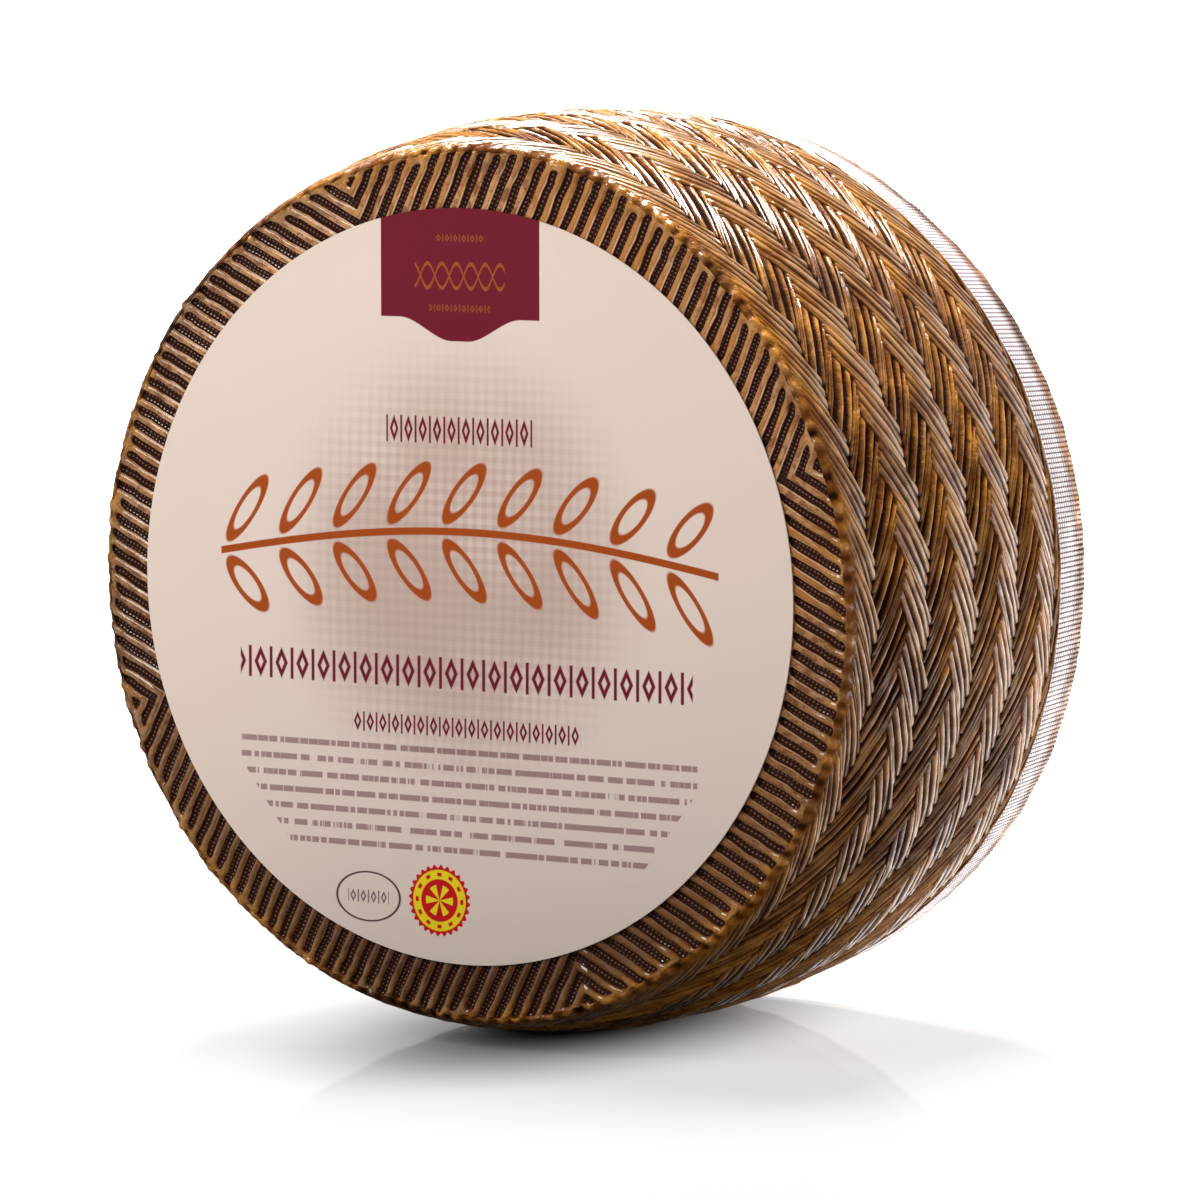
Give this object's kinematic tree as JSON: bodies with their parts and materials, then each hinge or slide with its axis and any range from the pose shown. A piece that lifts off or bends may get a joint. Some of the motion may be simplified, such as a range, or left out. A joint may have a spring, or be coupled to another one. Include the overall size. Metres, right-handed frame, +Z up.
{
  "type": "cheese wheel",
  "caption": "Round barrel-sided wheel of hard cheese with a herringbone-pressed rind, standing on its rim, with a round paper label on one face.",
  "frame": {"origin": "middle of the patch that the wheel stands on, below the middle of its thickness", "axes": "+Z up; the wheel's own axis lies along Y, with the labelled face looking along -Y and the plain face along +Y"},
  "size_m": [0.2, 0.0992, 0.1994],
  "materials": {
    "rind": "waxy semi-gloss brown rind, amber on the ridges and nearly black in the grooves",
    "label_paper": "smooth matt printed paper, warm beige with dark red and burnt orange print"
  },
  "bodies": {
    "root": {"cheese_wheel": "rind", "label": "label_paper"}
  },
  "joints": []
}
